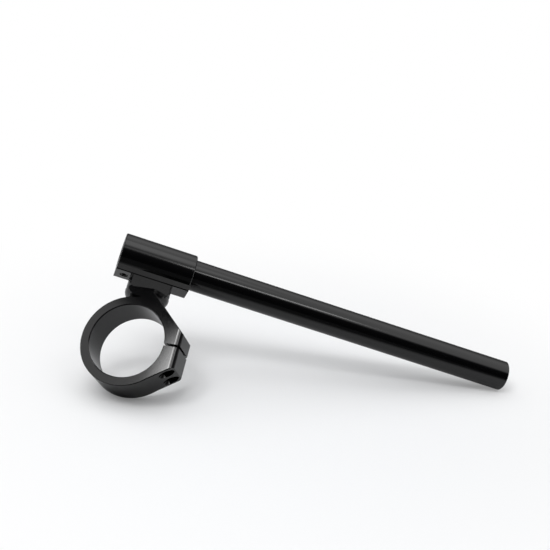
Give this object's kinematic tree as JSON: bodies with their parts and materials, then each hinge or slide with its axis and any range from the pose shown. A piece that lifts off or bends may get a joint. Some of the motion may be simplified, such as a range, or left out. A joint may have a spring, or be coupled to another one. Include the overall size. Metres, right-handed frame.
{
  "type": "clip-on handlebar",
  "caption": "Motorcycle clip-on handlebar: split clamp ring for a fork tube, bar holder on a bolted swivel seat, and a straight hollow bar tube.",
  "frame": {"origin": "middle of the fork tube bore, on its axis and half way along it", "axes": "+Z along the fork tube, up on the bike; +Y from the bore to the swivel seat; +X towards the outer end of the bar"},
  "size_m": [0.2803, 0.11, 0.1521],
  "materials": {
    "anodised_body": "black anodised, bead blasted, satin",
    "anodised_tube": "black anodised, drawn, satin",
    "black_bolt": "black oxide"
  },
  "bodies": {
    "fork_clamp": {"clamp_ring": "anodised_body", "pinch_bolt_front": "black_bolt", "pinch_bolt_rear": "black_bolt", "swivel_bolt": "black_bolt"},
    "bar": {"bar_holder": "anodised_body", "bar_tube": "anodised_tube", "tube_lock_screw": "black_bolt"}
  },
  "joints": [
    {"name": "bar_swivel", "type": "hinge", "parent": "fork_clamp", "child": "bar", "pos_m": [0, 0.0394, 0], "axis": [0, 1, 0], "continuous": true}
  ]
}
